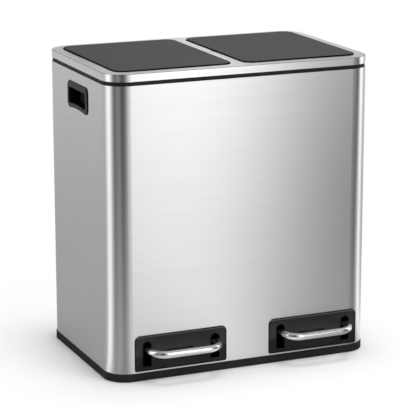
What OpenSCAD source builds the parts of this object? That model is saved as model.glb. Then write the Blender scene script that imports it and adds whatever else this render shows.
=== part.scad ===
// Double pedal bin: a brushed steel sleeve on a moulded plinth, with two lids set in a steel rim.
// Each pedal tips a lever under the buckets, which lifts a push rod, which opens the lid on gooseneck hinges.
// Millimetres. Origin on the floor under the middle of the body, +Z up, front towards -Y.

/* [Body] */
// Width of the steel body
body_w = 500; // [460:5:600]
// Depth of the steel body
body_d = 324; // [312:2:380]
// Height from the floor to the top of the steel rim
body_h = 545; // [480:5:700]
// Outer radius of the body's upright corners
corner_r = 40; // [36:1:46]
// Thickness of the steel sheet
sheet_t = 0.8; // [0.6:0.1:1]
// Width of the folded seam up the back
seam_w = 10; // [6:1:16]

/* [Base] */
// Height of the black plinth
plinth_h = 14; // [13:1:22]
// How far the plinth stands out past the steel
plinth_reach = 1.3; // [0.8:0.1:2.5]
// Radius of the plinth's top edge
plinth_edge_r = 1.2; // [0.5:0.1:1.6]
// Thickness of the tray's floor
floor_t = 3; // [2.5:0.5:4]
// Height of the tray's wall inside the steel, above the plinth
upstand_h = 18; // [10:1:24]
// Wall of the tray's upstand and of the collar
frame_t = 2.5; // [2:0.5:3]
// Thickness of the stiffening ribs
rib_t = 2; // [1.5:0.5:3]
// Height of the ribs on the tray's floor
rib_h = 8; // [5:1:10]
// Radius of a foot pad
foot_r = 12; // [9:1:15]
// Thickness of a foot pad
foot_t = 3; // [2.5:0.5:4]
// How far a foot pad holds the tray off the floor
foot_stand = 1; // [0.5:0.5:1.5]
// Distance of a corner pad's centre from the body's sides
foot_inset = 46; // [40:1:70]

/* [Collar and rim] */
// Height of the black band between the body and the rim
band_h = 7; // [4:0.1:9]
// How far the band lies behind the steel's outer face
band_recess = 1.5; // [1.3:0.1:2]
// Height of the steel rim
rim_h = 13.7; // [12:0.1:18]
// Radius of the rim's top edge
rim_edge_r = 1.6; // [1.5:0.1:3.5]
// Width of the rim's top, from the outer face to the lid
rim_w = 20; // [18:0.5:24]
// Width of the rim's strip between the lids
strip_w = 20; // [18:1:40]
// Thickness of the collar's flange and of the bucket deck
shelf_t = 3; // [2:0.5:4]
// Depth of the collar's skirt inside the body
skirt_h = 20; // [12:1:30]
// Depth from the rim's top to the top of the bucket deck
shelf_drop = 16; // [15:0.5:20]

/* [Lids] */
// Gap between a lid and the rim
lid_gap = 1.5; // [1.2:0.1:2]
// How far a lid's top stands above the rim
lid_proud = 2.5; // [2:0.1:3]
// Thickness of a lid's top panel
panel_t = 3.5; // [3:0.1:4]
// Radius of a lid panel's top edge
panel_edge_r = 1; // [0.5:0.1:1.5]
// Corner radius of the rim's two openings
opening_r = 20; // [16:0.5:26]
// How far the liner's edge lies inside the panel's edge
liner_inset = 1.5; // [1:0.1:2.5]
// Depth of the liner below the panel
liner_h = 9.8; // [8:0.2:11]
// Wall of the liner
liner_t = 2; // [1.5:0.5:2.5]
// How far a pedal opens its lid, in degrees
lid_swing = 80; // [60:5:80]

/* [Hinges] */
// Radius of a hinge pin
pin_r = 2; // [1.8:0.1:2.2]
// Distance of the hinge pins from the body's back face
hinge_back = 9; // [8.5:0.1:11]
// Depth of the hinge pins below the rim's top
hinge_drop = 6; // [5.8:0.1:7]
// Distance between a lid's two hinges
hinge_span = 150; // [110:5:160]
// Thickness of a gooseneck arm
neck_t = 6; // [4:0.5:8]
// Width of the gooseneck's curved band
neck_band = 5; // [4:0.5:6]
// Wall round the pin in the gooseneck's eye
eye_wall = 2.6; // [2:0.1:3]
// Thickness of the collar's ear on each side of an arm
ear_t = 5; // [3:0.5:8]

/* [Pedals] */
// Distance of a pedal's middle from the body's middle
pedal_x = 128.5; // [110:0.5:135]
// How far both pedals stand to the right of that
pedal_shift = 8; // [0:0.5:8]
// Slope of a pedal's legs, down towards the front, in degrees
pedal_tilt = 4; // [0:0.5:5]
// Diameter of the pedal's rod
pedal_d = 13; // [10:0.5:14]
// Distance between the pedal's two legs
leg_span = 127; // [100:1:130]
// Radius of the pedal's bends, at the rod's middle
bend_r = 26; // [18:1:32]
// Distance of the pedal's bar in front of the body
pedal_reach = 38; // [36:0.5:60]
// Height of the rod's middle above the bezel's lower edge, at rest
pedal_rise = 40.5; // [38:0.5:44]
// Distance of the lever's pin in front of the body's middle
fulcrum_front = 10; // [0:1:20]
// Radius of the lever's pin
fulcrum_r = 4; // [3:0.5:5]
// Height of the lever's pin below the pedal's rod
fulcrum_sink = 12; // [8:1:14]
// Width of the lever
lever_w = 24; // [20:1:30]
// Depth of the lever's channel
lever_h = 14; // [12:1:18]
// Thickness of the lever's steel
lever_t = 2.5; // [2:0.5:3]
// Radius of the lever's rounded nose
nose_r = 5; // [4:0.5:6]

/* [Pedal bezels] */
// Width of a bezel
bezel_w = 174.5; // [160:0.5:180]
// Height of a bezel
bezel_h = 65; // [62:1:75]
// Gap between the plinth and a bezel
bezel_lift = 2.5; // [1:0.5:4]
// Radius of a bezel's upper corners
bezel_top_r = 10; // [6:1:14]
// Radius of a bezel's lower corners
bezel_foot_r = 4; // [3:0.5:8]
// How far a bezel stands out of the steel
bezel_proud = 2.2; // [1.5:0.1:3]
// Radius of a bezel's outer edge
bezel_edge_r = 2; // [1:0.1:2.4]
// Depth of a bezel's body behind the steel
bezel_depth = 7; // [5:0.5:10]
// Width of the bezel's flange over the steel
bezel_lap = 4; // [3:0.5:6]
// Width of a pedal slot
slot_w = 16; // [14.5:0.5:18]
// Height of the slot above the rod, at rest
slot_head = 6.5; // [4:0.5:9]
// Depth of the scoop between the slots
scoop_depth = 5; // [3:0.5:6]

/* [Push rods] */
// Diameter of a push rod
rod_d = 5; // [4:0.5:6]
// Distance from the hinge pin to the drive pin
crank_r = 18; // [17:0.5:19]
// Radius of the drive pin
drive_r = 2.5; // [2:0.1:3]
// Size of a rod head or foot, front to back
head_d = 8; // [7:0.2:8.4]
// Width of a rod head or foot
head_w = 20; // [16:1:22]
// Height of a rod head
head_h = 18; // [15:1:22]
// Height of a rod foot
tail_h = 14; // [8:1:18]

/* [Carry handles] */
// Width of a handle
handle_w = 101; // [92:1:130]
// Height of a handle
handle_h = 48.5; // [42:0.5:54]
// Corner radius of a handle
handle_r = 10; // [6:0.5:12]
// How far a handle stands out of the steel
handle_proud = 3.5; // [2.5:0.5:5]
// Depth of a handle's cup inside the body
handle_depth = 21; // [16:1:24]
// Wall of a handle's cup
cup_t = 2; // [1.5:0.5:3]
// Distance of a handle's middle below the top of the steel body
handle_drop = 42; // [38:0.5:80]
// Distance of a handle's middle in front of the body's middle
handle_front = 12; // [0:1:30]
// Rise of the handle's arched lower edge
handle_arch = 3; // [1:0.5:4]

/* [Buckets] */
// Wall of a bucket
bucket_t = 2; // [1.5:0.5:3]
// Width of a bucket's flange
bucket_lap = 6; // [5:0.5:8]
// How much narrower a bucket is at its foot, on each side
bucket_draft = 6; // [3:0.5:8]
// Radius of a bucket's upright corners
bucket_r = 24; // [16:1:30]
// Radius of the finger cuts in the deck, at the front and the side of each bucket
finger_r = 17; // [14:0.5:20]
// Distance from the floor to a bucket's underside
bucket_z = 78; // [76:1:110]

/* [Hidden] */
$fn = 72;
LEFT = -1;
RIGHT = 1;
SIDES = [LEFT, RIGHT];

// Clearances, and one overrun for every cut
overrun = 1;
fit_gap = 0.2;
pin_gap = 0.05;
press_gap = 0.02;
rest_gap = 0.3;
swing_gap = 1;
drive_gap = 0.55;

// Levels
plinth_top = foot_stand + plinth_h;
tray_floor = foot_stand + floor_t;
band_top = body_h - rim_h;
shell_top = band_top - band_h;
plate_z = body_h - sheet_t;
shelf_top = body_h - shelf_drop;
panel_top = body_h + lid_proud;
panel_z = panel_top - panel_t;
liner_z = panel_z - liner_h;
half_w = body_w / 2;
half_d = body_d / 2;

// Insets of the moulded frames that line the steel
frame_out = sheet_t + fit_gap;
frame_in = frame_out + frame_t;

// The two openings and the lids in them
opening_w = (body_w - 2 * rim_w - strip_w) / 2;
opening_d = body_d - 2 * rim_w;
opening_x = (strip_w + opening_w) / 2;
panel_w = opening_w - 2 * lid_gap;
panel_d = opening_d - 2 * lid_gap;
panel_r = opening_r - lid_gap;
liner_w = panel_w - 2 * liner_inset;
liner_r = panel_r - liner_inset;

// Hinge axis, and the gooseneck that swings round the rim's back edge
hinge_y = half_d - hinge_back;
hinge_z = body_h - hinge_drop;
rim_edge_y = half_d - rim_w;
edge_reach = norm([hinge_y - rim_edge_y, hinge_drop]);
neck_in = edge_reach + swing_gap;
neck_out = neck_in + neck_band;
neck_foot_angle = -80;
eye_r = pin_r + eye_wall;
liner_back = hinge_y - neck_in - neck_band / 2;
liner_front = -half_d + rim_w + lid_gap + liner_inset;
liner_d = liner_back - liner_front;
liner_y = (liner_back + liner_front) / 2;
pocket_w = neck_t + 2 * swing_gap;
hinge_block_w = pocket_w + 2 * ear_t;
ear_drop = 3 * pin_r;

// Drive pin, half its swing below the hinge at rest, and the rod that it rests on
crank_angle = lid_swing / 2;
drive_y = hinge_y - crank_r * cos(crank_angle);
drive_z = hinge_z - crank_r * sin(crank_angle);
drive_boss_r = drive_r + liner_t;
rod_travel = 2 * crank_r * sin(crank_angle);
rod_y = hinge_y - crank_r * (1 + cos(crank_angle)) / 2;
rod_r = rod_d / 2;
head_top = drive_z - drive_r - drive_gap;
head_z = head_top - head_h;
fork_w = neck_t + 2 * swing_gap;
fork_depth = drive_boss_r - drive_r + 2 * swing_gap;

// Pedal, lever and bezel
bezel_z = plinth_top + bezel_lift;
bezel_mid_z = bezel_z + bezel_h / 2;
pedal_r = pedal_d / 2;
pedal_z = bezel_z + pedal_rise;
bar_y = -half_d - pedal_reach;
fulcrum_y = -fulcrum_front;
fulcrum_z = pedal_z - fulcrum_sink;
tail_arm = rod_y - fulcrum_y;
pedal_swing = 2 * atan(rod_travel / 2 / tail_arm);
nose_z = fulcrum_z - rod_travel / 2;
tail_z = nose_z + nose_r + rest_gap;
yoke_d = 24;
yoke_wall = 3;
yoke_front = -half_d + bezel_depth + pedal_r + swing_gap;
yoke_back = yoke_front + yoke_d;
yoke_mid = (yoke_front + yoke_back) / 2;
yoke_rise = (yoke_mid + half_d) * sin(pedal_tilt);
yoke_z = pedal_z + yoke_rise - pedal_r - yoke_wall;
leg_end = yoke_back + lever_t;
slot_arm = half_d + bezel_proud - fulcrum_front;
slot_travel = slot_arm * sin(pedal_swing) + fulcrum_sink * (1 - cos(pedal_swing));
slot_z = pedal_z - slot_travel - pedal_r / cos(pedal_swing + pedal_tilt) - swing_gap;
slot_top = pedal_z + pedal_r + slot_head;
slot_span = leg_span + 2 * swing_gap;
scoop_w = slot_span - slot_w - 2 * bezel_lap;
scoop_h = bezel_h - 2 * bezel_lap;
scoop_r = (scoop_h * scoop_h / 4 + scoop_depth * scoop_depth) / (2 * scoop_depth);
bezel_seat = 3;
field_depth = bezel_proud / 3;
field_inset = 3;
field_r = 2;
bezel_rs = [bezel_top_r, bezel_top_r, bezel_foot_r, bezel_foot_r];
field_rs = [bezel_top_r - field_inset, bezel_top_r - field_inset, field_r, field_r];
slot_lip = 1.5;

// Bracket that carries the lever's pin
bracket_t = 3;
bracket_pad_h = 4;
bracket_z = tray_floor + bracket_pad_h;
bracket_ear_x = lever_w / 2 + swing_gap;
bracket_ear_d = 36;
bracket_w = 64;
bracket_d = 52;
bracket_top = fulcrum_z + 2 * fulcrum_r;
fulcrum_len = 2 * (bracket_ear_x + bracket_t) + 2 * swing_gap;
screw_r = 2.4;
screw_head_r = 4.5;
screw_head_h = 2.6;
screw_inset = 7;
screw_x = bracket_w / 2 - screw_inset;
screw_y = bracket_d / 2 - screw_inset;
screw_bite = 4;
bumper_r = 9;
bumper_gap = 1.5;

// Deck that lies on the collar's ledges
skirt_z = shell_top - skirt_h;
deck_inset = frame_in + press_gap;
deck_z = shelf_top - shelf_t;
ledge_w = 14;
ledge_h = 6;
ledge_d = 5;

// Bucket, hung by its flange inside the lid's bumpers
bumper_w = 5;
button_inset = rim_w + lid_gap + liner_inset + liner_t / 4;
flange_inset = rim_w + lid_gap + liner_inset + liner_t + 2 * swing_gap;
flange_strip = flange_inset - rim_w + strip_w / 2;
mech_depth = rod_y - head_d / 2 - 2 * swing_gap;
bucket_margin = 7;
bucket_back = mech_depth - bucket_margin - bucket_lap;
bucket_x0 = half_w - flange_inset - bucket_lap;
bucket_x1 = flange_strip + bucket_lap;
bucket_w = bucket_x0 - bucket_x1;
bucket_x = (bucket_x0 + bucket_x1) / 2;
bucket_front = -half_d + flange_inset + bucket_lap;
bucket_d = bucket_back - bucket_front;
bucket_y = (bucket_back + bucket_front) / 2;
bucket_h = shelf_top - bucket_z;
bucket_foot_h = 10;
shelf_gap = 1;

// Channel round each push rod
channel_w = 28;
channel_t = 1.2;
channel_foot_w = 12;
channel_z = 104;
channel_top_gap = 10;
channel_top = head_z - channel_top_gap;
channel_front = mech_depth - 2;
guide_h = 12;
guide_d = 20;
guide_lift = 8;

// Carry handle
handle_y = -handle_front;
handle_z = shell_top - handle_drop;
handle_lap = 4;
handle_edge_r = 2.4;
grip_margin = 8;
grip_w = handle_w - 2 * grip_margin;
grip_shares = [-0.35, 0.27];
grip_foot = grip_shares[0] * handle_h;
grip_top = grip_shares[1] * handle_h;
grip_r = 6;
arch_fn = 256;

// Outline of a rounded rectangle whose corners, anticlockwise from +X+Y, have the radii rs
module outline(w, d, rs) {
    signs = [[1, 1], [-1, 1], [-1, -1], [1, -1]];
    polygon([
        [w / 2, d / 2 - rs[0]], [w / 2 - rs[0], d / 2],
        [-w / 2 + rs[1], d / 2], [-w / 2, d / 2 - rs[1]],
        [-w / 2, -d / 2 + rs[2]], [-w / 2 + rs[2], -d / 2],
        [w / 2 - rs[3], -d / 2], [w / 2, -d / 2 + rs[3]]
    ]);
    for (i = [0:3])
        translate([signs[i][0] * (w / 2 - rs[i]), signs[i][1] * (d / 2 - rs[i])]) circle(r = rs[i]);
}

// Sweeps a profile round such an outline: x of the profile is the distance outwards from its edge
module edge_sweep(w, d, rs) {
    signs = [[1, 1], [-1, 1], [-1, -1], [1, -1]];
    for (i = [0:3]) {
        next = (i + 1) % 4;
        normal_half = (i % 2 == 0 ? d : w) / 2;
        side = i % 2 == 0 ? w : d;
        translate([signs[i][0] * (w / 2 - rs[i]), signs[i][1] * (d / 2 - rs[i]), 0])
            rotate([0, 0, 90 * i])
                rotate_extrude(angle = 90) translate([rs[i], 0]) children();
        rotate([0, 0, 90 * next])
            translate([normal_half, side / 2 - rs[next], 0])
                rotate([90, 0, 0]) linear_extrude(side - rs[i] - rs[next]) children();
    }
}

// Block on such an outline whose top edge is rounded to the radius edge
module soft_block(w, d, rs, h, edge) {
    linear_extrude(h - edge) outline(w, d, rs);
    linear_extrude(h) outline(w - 2 * edge, d - 2 * edge, [for (r = rs) r - edge]);
    edge_sweep(w, d, rs)
        translate([-edge, h - edge])
            intersection() {
                circle(r = edge);
                square([edge, edge]);
            }
}

// Middle of the left or right pedal, and of the lever and push rod behind it
function pedal_at(side) = side * pedal_x + pedal_shift;

// Four equal corner radii
function even(r) = [r, r, r, r];

// The body's outline, drawn in by an inset
module body_outline(inset) {
    outline(body_w - 2 * inset, body_d - 2 * inset, even(corner_r - inset));
}

// A wall that follows the body's outline between two insets
module body_wall(outer, inner, h) {
    linear_extrude(h)
        difference() {
            body_outline(outer);
            body_outline(inner);
        }
}

// Lays a shape drawn in XY, front towards +Z, so that it faces forwards out of the body
module face_front() {
    rotate([90, 0, 0]) children();
}

// Lays a shape drawn in XY, front towards +Z, so that it faces out of the left or right side
module face_side(side) {
    rotate([90, 0, side * 90]) children();
}

// A rod along X, centred on the origin
module cross_rod(r, length) {
    rotate([0, 90, 0]) cylinder(r = r, h = length, center = true);
}

// A plate cut in the YZ plane and centred on the origin along X
module side_plate(t) {
    rotate([90, 0, 90]) translate([0, 0, -t / 2]) linear_extrude(t) children();
}

module body_shell() {
    color("silver")
        difference() {
            union() {
                translate([0, 0, plinth_top]) body_wall(0, sheet_t, shell_top - plinth_top);
                translate([-seam_w / 2, half_d - sheet_t, plinth_top])
                    cube([seam_w, 2 * sheet_t, shell_top - plinth_top]);
            }
            for (side = SIDES) {
                translate([pedal_at(side), -half_d + frame_in, bezel_mid_z])
                    face_front() linear_extrude(frame_in + overrun) bezel_body_outline(fit_gap);
                translate([side * (half_w - frame_in), handle_y, handle_z])
                    face_side(side) linear_extrude(frame_in + overrun) cup_outline(fit_gap);
            }
        }
}

module base_tray() {
    color([0.12, 0.12, 0.12])
        difference() {
            union() {
                translate([0, 0, foot_stand])
                    soft_block(body_w + 2 * plinth_reach, body_d + 2 * plinth_reach,
                        even(corner_r + plinth_reach), plinth_h, plinth_edge_r);
                translate([0, 0, tray_floor])
                    body_wall(frame_out, frame_in, plinth_top - tray_floor + upstand_h);
            }
            difference() {
                translate([0, 0, tray_floor])
                    linear_extrude(plinth_h + upstand_h) body_outline(frame_in);
                tray_ribs();
            }
            for (side = SIDES)
                translate([pedal_at(side), -half_d, bezel_z - fit_gap])
                    translate([-bezel_w / 2, -plinth_reach - overrun, 0])
                        cube([bezel_w, bezel_depth + frame_in + plinth_reach + 2 * overrun, bezel_h]);
            foot_places() translate([0, 0, -overrun]) cylinder(r = foot_r + fit_gap, h = foot_t + overrun);
            bracket_screw_places()
                translate([0, 0, -screw_bite]) cylinder(r = screw_r + press_gap, h = screw_bite + overrun);
        }
}

// Ribs, pads under the brackets and bosses over the feet, on the tray's floor
module tray_ribs() {
    for (y = [-half_d / 2 - bracket_d / 4, half_d / 2])
        translate([-half_w, y - rib_t / 2, 0]) cube([body_w, rib_t, tray_floor + rib_h]);
    translate([-rib_t / 2, -half_d, 0]) cube([rib_t, body_d, tray_floor + rib_h]);
    for (side = SIDES)
        translate([pedal_at(side) - bracket_w / 2 - rib_t, fulcrum_y - bracket_d / 2 - rib_t, 0])
            cube([bracket_w + 2 * rib_t, bracket_d + 2 * rib_t, bracket_z]);
    foot_places() cylinder(r = foot_r + frame_t, h = tray_floor + foot_t);
    bumper_places() cylinder(r = bumper_r + frame_t, h = tray_floor + rib_h - tray_floor / 2);
}

// Underside of each foot pad
module foot_places() {
    translate([0, 0, 0]) children();
    for (sx = SIDES, sy = SIDES)
        translate([sx * (half_w - foot_inset), sy * (half_d - foot_inset), 0]) children();
}

module foot_pads() {
    color([0.2, 0.2, 0.2]) foot_places() cylinder(r = foot_r, h = foot_t);
}

// Rubber stops on the tray under each lever's yoke
module bumper_places() {
    for (side = SIDES) translate([pedal_at(side), yoke_mid, 0]) children();
}

module pedal_bumpers() {
    low = yoke_z - (fulcrum_y - yoke_mid) * sin(pedal_swing) - bumper_gap - swing_gap;
    z = tray_floor / 2 + rib_h;
    color([0.2, 0.2, 0.2]) bumper_places() translate([0, 0, z]) cylinder(r = bumper_r, h = low - z);
}

// The collar: a wall behind the band, a top flange under the rim, ledges for the deck and the hinge ears
module top_collar() {
    crown_z = plate_z - shelf_t / 2;
    frame_mid = (frame_out + frame_in) / 2;
    color([0.1, 0.1, 0.1])
        difference() {
            union() {
                translate([0, 0, skirt_z]) body_wall(frame_out, frame_in, skirt_h);
                translate([0, 0, shell_top]) body_wall(band_recess, frame_in, band_h);
                collar_crown();
                collar_ledges(frame_mid);
                hinge_places()
                    translate([-hinge_block_w / 2, -ear_drop, -ear_drop])
                        cube([hinge_block_w, ear_drop + hinge_back - frame_mid,
                            ear_drop + crown_z - hinge_z]);
            }
            hinge_places() {
                cross_rod(pin_r + press_gap, hinge_block_w + overrun);
                translate([-pocket_w / 2, -neck_out - swing_gap, -neck_out - swing_gap])
                    cube([pocket_w, neck_out + eye_r + 3 * swing_gap / 2, body_h]);
            }
        }
}

// The part of the collar that fills the rim: a wall and a flange with the rim's two openings
module collar_crown() {
    difference() {
        translate([0, 0, band_top])
            soft_block(body_w - 2 * frame_out, body_d - 2 * frame_out, even(corner_r - frame_out),
                plate_z - band_top, rim_edge_r - sheet_t);
        translate([0, 0, band_top - overrun])
            linear_extrude(rim_h - sheet_t - shelf_t + overrun) body_outline(frame_in);
        translate([0, 0, band_top]) linear_extrude(rim_h) opening_pair();
    }
}

// Ledges under the deck's edge, at the front and the two sides
module collar_ledges(inset) {
    depth = frame_in - inset + ledge_d;
    for (side = SIDES, end = SIDES) {
        translate([side * bucket_x + end * bucket_w / 3 - ledge_w / 2, -half_d + inset,
                deck_z - press_gap - ledge_h])
            cube([ledge_w, depth, ledge_h]);
        translate([side * (half_w - inset - depth / 2) - depth / 2, end * half_d / 2 - ledge_w / 2,
                deck_z - press_gap - ledge_h])
            cube([depth, ledge_w, ledge_h]);
    }
}

// The deck that the buckets hang from, with the divider between them and the wall before the push rods
module bucket_deck() {
    flange_z = plate_z - shelf_t;
    color([0.1, 0.1, 0.1]) {
        translate([0, 0, deck_z]) linear_extrude(shelf_t) shelf_outline();
        translate([0, 0, skirt_z])
            linear_extrude(shelf_top - skirt_z)
                intersection() {
                    body_outline(deck_inset);
                    translate([-half_w, mech_depth - shelf_t]) square([body_w, shelf_t]);
                }
        translate([-rib_t / 2, -half_d + deck_inset, skirt_z])
            cube([rib_t, body_d - 2 * deck_inset, flange_z - press_gap - skirt_z]);
    }
}

// The deck's outline, with cuts for the fingers that lift the buckets out
module shelf_outline() {
    difference() {
        body_outline(deck_inset);
        translate([-half_w, mech_depth - shelf_t / 2]) square([body_w, half_d]);
        for (side = SIDES) {
            translate([side * bucket_x, bucket_y])
                outline(bucket_w + 2 * shelf_gap, bucket_d + 2 * shelf_gap, even(bucket_r + shelf_gap));
            translate([side * bucket_x, bucket_front]) circle(r = finger_r);
            translate([side * bucket_x0, bucket_y]) circle(r = finger_r);
        }
    }
}

module opening_pair() {
    for (side = SIDES) translate([side * opening_x, 0]) outline(opening_w, opening_d, even(opening_r));
}

// The hinge axis at each gooseneck
module hinge_places() {
    for (side = SIDES, end = SIDES)
        translate([side * opening_x + end * hinge_span / 2, hinge_y, hinge_z]) children();
}

module lid_hinge_pins() {
    color("gainsboro") hinge_places() cross_rod(pin_r, hinge_block_w);
}

module lid_rim() {
    color("silver")
        difference() {
            translate([0, 0, band_top]) soft_block(body_w, body_d, even(corner_r), rim_h, rim_edge_r);
            translate([0, 0, band_top - overrun])
                soft_block(body_w - 2 * sheet_t, body_d - 2 * sheet_t, even(corner_r - sheet_t),
                    rim_h - sheet_t + overrun, rim_edge_r - sheet_t);
            translate([0, 0, band_top]) linear_extrude(rim_h + overrun) opening_pair();
        }
}

// Rubber buttons on the bucket deck that each closed lid rests on
module lid_bumpers() {
    button_x = half_w - button_inset;
    strip_x = button_inset - rim_w + strip_w / 2;
    color([0.2, 0.2, 0.2])
        for (side = SIDES, x = [strip_x, button_x], y = [-0.25 * opening_d, 0.2 * opening_d])
            translate([side * x - bumper_w / 2, y - bumper_w, shelf_top])
                cube([bumper_w, 2 * bumper_w, liner_z - shelf_top - rest_gap]);
}

// Body of a bezel behind its flange
module bezel_body_outline(gap) {
    w = bezel_w - 2 * bezel_lap + 2 * gap;
    h = bezel_h - 2 * bezel_lap + 2 * gap;
    r = bezel_foot_r / 2 + gap;
    outline(w, h, even(r));
}

module pedal_bezel(side) {
    color([0.13, 0.13, 0.13])
        difference() {
            union() {
                difference() {
                    bezel_place(side)
                        translate([0, 0, -bezel_seat])
                            soft_block(bezel_w, bezel_h, bezel_rs, bezel_seat + bezel_proud, bezel_edge_r);
                    linear_extrude(body_h) body_outline(0);
                }
                bezel_place(side)
                    translate([0, 0, -bezel_depth])
                        linear_extrude(bezel_depth + overrun) bezel_body_outline(0);
            }
            bezel_place(side) {
                translate([0, 0, bezel_proud - field_depth])
                    linear_extrude(field_depth + overrun)
                        difference() {
                            outline(bezel_w - 2 * field_inset, bezel_h - 2 * field_inset, field_rs);
                            for (end = SIDES) translate([end * slot_span / 2, 0]) slot_outline(slot_lip);
                        }
                for (end = SIDES)
                    translate([end * slot_span / 2, 0, -bezel_depth - overrun])
                        linear_extrude(bezel_depth + bezel_proud + 2 * overrun) slot_outline(0);
                translate([0, 0, bezel_proud - field_depth - scoop_depth + scoop_r]) scoop();
            }
        }
}

// The hollow between the slots, shallow and round at its two ends
module scoop() {
    straight = scoop_w - scoop_h;
    cross_rod(scoop_r, straight);
    for (end = SIDES) translate([end * straight / 2, 0, 0]) sphere(r = scoop_r);
}

// Middle of a bezel on the body's front face, with +Z outwards
module bezel_place(side) {
    translate([pedal_at(side), -half_d, bezel_mid_z]) face_front() children();
}

// Slot with a round top and a square foot, in the bezel's own height, grown by a lip
module slot_outline(lip) {
    z0 = slot_z - bezel_mid_z - lip;
    z1 = slot_top - bezel_mid_z - slot_w / 2;
    translate([-slot_w / 2 - lip, z0]) square([slot_w + 2 * lip, z1 - z0]);
    translate([0, z1]) circle(r = slot_w / 2 + lip);
}

// The handle's cup where it passes through the steel
module cup_outline(gap) {
    outline(handle_w - 2 * handle_lap + 2 * gap, handle_h - 2 * handle_lap + 2 * gap,
        even(handle_r - handle_lap + gap));
}

module carry_handle(side) {
    cup_w = handle_w - 2 * handle_lap;
    cup_h = handle_h - 2 * handle_lap;
    arch_r = (grip_w * grip_w / 4 + handle_arch * handle_arch) / (2 * handle_arch);
    color([0.13, 0.13, 0.13])
        translate([side * half_w, handle_y, handle_z])
            face_side(side)
                difference() {
                    union() {
                        soft_block(handle_w, handle_h, even(handle_r), handle_proud, handle_edge_r);
                        translate([0, 0, -handle_depth]) linear_extrude(handle_depth) cup_outline(0);
                    }
                    translate([0, 0, -handle_depth + cup_t])
                        linear_extrude(handle_depth - 2 * cup_t)
                            outline(cup_w - 2 * cup_t, cup_h - 2 * cup_t,
                                even(handle_r - handle_lap - cup_t / 2));
                    difference() {
                        translate([0, (grip_top + grip_foot) / 2, -2 * cup_t - overrun])
                            linear_extrude(handle_proud + 2 * cup_t + 2 * overrun)
                                outline(grip_w, grip_top - grip_foot, even(grip_r));
                        translate([0, grip_foot + handle_arch - arch_r, 0])
                            cylinder(r = arch_r, h = 4 * handle_depth, center = true, $fn = arch_fn);
                    }
                    translate([0, -handle_h / 2 + handle_arch - arch_r, 0])
                        cylinder(r = arch_r, h = 2 * handle_proud + overrun, center = true, $fn = arch_fn);
                }
}

// A bucket's tapering body from its foot up to its flange, drawn in by an inset
module bucket_body(inset, top) {
    rows = [
        [bucket_z + inset, bucket_draft + bucket_foot_h / 2],
        [bucket_z + bucket_foot_h, bucket_draft],
        [top, 0]
    ];
    hull()
        for (row = rows)
            translate([0, 0, row[0]])
                linear_extrude(press_gap)
                    outline(bucket_w - 2 * row[1] - 2 * inset, bucket_d - 2 * row[1] - 2 * inset,
                        even(bucket_r - inset), $fn = 32);
}

module bucket(side) {
    lap = 2 * bucket_lap;
    color([0.25, 0.25, 0.26])
        translate([side * bucket_x, bucket_y, 0])
            difference() {
                union() {
                    bucket_body(0, shelf_top);
                    translate([0, 0, shelf_top])
                        linear_extrude(bucket_t)
                            outline(bucket_w + lap, bucket_d + lap, even(bucket_r + bucket_lap / 2));
                }
                bucket_body(bucket_t, shelf_top + bucket_t + overrun);
                for (end = SIDES)
                    translate([0, end * (bucket_d + bucket_lap) / 2, shelf_top - overrun])
                        linear_extrude(bucket_t + 2 * overrun)
                            outline(bucket_w / 2, bucket_lap / 2, even(bucket_lap / 4));
            }
}

module fulcrum_bracket(side) {
    ear_h = bracket_top - bracket_z;
    color("darkgray")
        translate([pedal_at(side), fulcrum_y, 0])
            difference() {
                union() {
                    translate([-bracket_w / 2, -bracket_d / 2, bracket_z])
                        cube([bracket_w, bracket_d, bracket_t]);
                    for (end = SIDES)
                        translate([end * (bracket_ear_x + bracket_t / 2), 0, bracket_z])
                            side_plate(bracket_t) bracket_ear_outline(ear_h);
                }
                translate([0, 0, fulcrum_z]) cross_rod(fulcrum_r + press_gap, fulcrum_len + overrun);
                for (sx = SIDES, sy = SIDES)
                    translate([sx * screw_x, sy * screw_y, bracket_z - overrun])
                        cylinder(r = screw_r + fit_gap, h = bracket_t + 2 * overrun);
            }
}

// Ear that narrows to a round top about the pin
module bracket_ear_outline(ear_h) {
    top_r = 2 * fulcrum_r;
    foot = bracket_ear_d / 2;
    polygon([[-foot, 0], [foot, 0], [top_r, ear_h - top_r], [-top_r, ear_h - top_r]]);
    translate([0, ear_h - top_r]) circle(r = top_r);
}

module fulcrum_pins() {
    color("gainsboro")
        for (side = SIDES)
            translate([pedal_at(side), fulcrum_y, fulcrum_z]) cross_rod(fulcrum_r, fulcrum_len);
}

// Top of the bracket's plate at each screw
module bracket_screw_places() {
    for (side = SIDES, sx = SIDES, sy = SIDES)
        translate([pedal_at(side) + sx * screw_x, fulcrum_y + sy * screw_y, bracket_z]) children();
}

module bracket_screws() {
    color("gainsboro")
        bracket_screw_places() {
            translate([0, 0, bracket_t]) cylinder(r = screw_head_r, h = screw_head_h);
            translate([0, 0, -screw_bite + fit_gap]) cylinder(r = screw_r, h = bracket_t + screw_bite);
        }
}

module rod_channel(side) {
    h = channel_top - channel_z;
    depth = half_d - sheet_t - press_gap - channel_front;
    foot_x = (channel_w + channel_foot_w - channel_t) / 2;
    color("lightgray")
        translate([pedal_at(side), channel_front, channel_z]) {
            difference() {
                translate([-channel_w / 2, 0, 0]) cube([channel_w, depth, h]);
                translate([-channel_w / 2 + channel_t, channel_t, -overrun])
                    cube([channel_w - 2 * channel_t, depth, h + 2 * overrun]);
            }
            for (end = SIDES)
                translate([end * foot_x - channel_foot_w / 2, depth - channel_t, 0])
                    cube([channel_foot_w, channel_t, h]);
        }
}

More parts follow.
